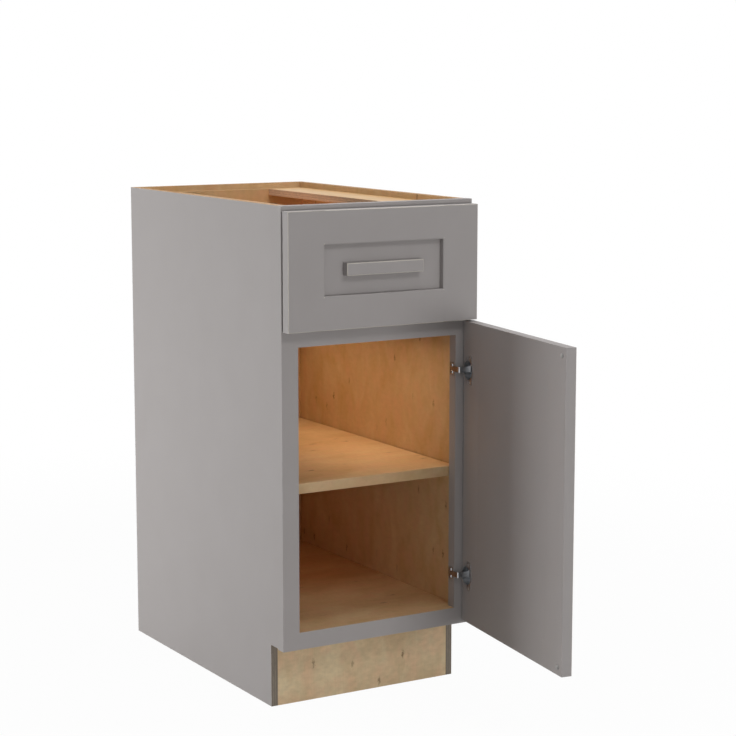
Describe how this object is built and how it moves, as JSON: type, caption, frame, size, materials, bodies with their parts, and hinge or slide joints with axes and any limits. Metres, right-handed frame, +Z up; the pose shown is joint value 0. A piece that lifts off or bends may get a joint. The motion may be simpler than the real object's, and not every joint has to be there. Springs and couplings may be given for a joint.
{
  "type": "kitchen base cabinet",
  "caption": "Framed kitchen base cabinet with a drawer over a right-hung door, an adjustable shelf, a toe space and a slotted knife insert in the drawer.",
  "frame": {"origin": "on the floor, at the middle of the width, on the back face that goes to the wall", "axes": "+X to the right as one faces the front, +Y from the front towards the wall, +Z up"},
  "size_m": [0.3833, 0.9895, 0.8763],
  "materials": {
    "grey_paint": "satin grey paint",
    "maple_plywood": "clear-coated maple plywood",
    "solid_maple": "clear-coated maple",
    "zinc_plated_steel": "zinc-plated",
    "nickel_plated_steel": "nickel-plated",
    "screw_steel": "zinc-plated",
    "clear_bumper": "soft and clear",
    "clip_plastic": "moulded"
  },
  "bodies": {
    "cabinet": {"left_side_panel": "grey_paint", "right_side_panel": "grey_paint", "back_panel": "maple_plywood", "bottom_panel": "maple_plywood", "toe_kick_board": "maple_plywood", "back_nailer_rail": "maple_plywood", "left_top_brace": "maple_plywood", "right_top_brace": "maple_plywood", "frame_left_stile": "grey_paint", "frame_right_stile": "grey_paint", "frame_top_rail": "grey_paint", "frame_middle_rail": "grey_paint", "frame_bottom_rail": "grey_paint", "shelf_pins": "nickel_plated_steel", "upper_hinge_arm": "nickel_plated_steel", "lower_hinge_arm": "nickel_plated_steel", "hinge_arm_screws": "screw_steel", "left_slide_cabinet_member": "zinc_plated_steel", "right_slide_cabinet_member": "zinc_plated_steel", "slide_front_brackets": "zinc_plated_steel", "slide_rear_brackets": "zinc_plated_steel", "slide_front_screws": "screw_steel", "slide_rear_screws": "screw_steel"},
    "door": {"door_left_stile": "grey_paint", "door_right_stile": "grey_paint", "door_top_rail": "grey_paint", "door_bottom_rail": "grey_paint", "door_panel": "grey_paint", "door_bumpers": "clear_bumper", "upper_hinge_cup": "nickel_plated_steel", "lower_hinge_cup": "nickel_plated_steel", "hinge_pins": "nickel_plated_steel", "hinge_cup_screws": "screw_steel"},
    "drawer": {"drawer_front_left_stile": "grey_paint", "drawer_front_right_stile": "grey_paint", "drawer_front_top_rail": "grey_paint", "drawer_front_bottom_rail": "grey_paint", "drawer_front_panel": "grey_paint", "drawer_bumpers": "clear_bumper", "drawer_pull_bar": "grey_paint", "drawer_pull_screws": "screw_steel", "drawer_front_screws": "screw_steel", "drawer_box_front": "solid_maple", "drawer_box_back": "solid_maple", "drawer_box_left_side": "solid_maple", "drawer_box_right_side": "solid_maple", "drawer_box_bottom": "maple_plywood", "drawer_locking_clips": "clip_plastic", "knife_insert_base": "solid_maple", "knife_insert_fence": "solid_maple", "knife_insert_left_slats": "solid_maple", "knife_insert_right_slats": "solid_maple", "left_slide_drawer_member": "zinc_plated_steel", "right_slide_drawer_member": "zinc_plated_steel"},
    "left_slide_carriage": {"left_slide_middle_member": "zinc_plated_steel"},
    "right_slide_carriage": {"right_slide_middle_member": "zinc_plated_steel"},
    "shelf": {"adjustable_shelf": "maple_plywood"}
  },
  "joints": [
    {"name": "door_swing", "type": "hinge", "parent": "cabinet", "child": "door", "pos_m": [0.1816, -0.6212, 0.39], "axis": [0, 0, 1], "range_deg": [-82, 22]},
    {"name": "drawer_slide", "type": "slide", "parent": "cabinet", "child": "drawer", "axis": [0, -1, 0], "range_m": [0, 0.5]},
    {"name": "left_carriage_slide", "type": "slide", "parent": "cabinet", "child": "left_slide_carriage", "axis": [0, -1, 0], "range_m": [0, 0.25]},
    {"name": "right_carriage_slide", "type": "slide", "parent": "cabinet", "child": "right_slide_carriage", "axis": [0, -1, 0], "range_m": [0, 0.25]},
    {"name": "shelf_lift", "type": "slide", "parent": "cabinet", "child": "shelf", "axis": [0, 0, 1], "range_m": [0, 0.12]}
  ],
  "couplings": [
    {"joint": "left_carriage_slide", "follows": "drawer_slide", "ratio": 0.5},
    {"joint": "right_carriage_slide", "follows": "drawer_slide", "ratio": 0.5}
  ]
}
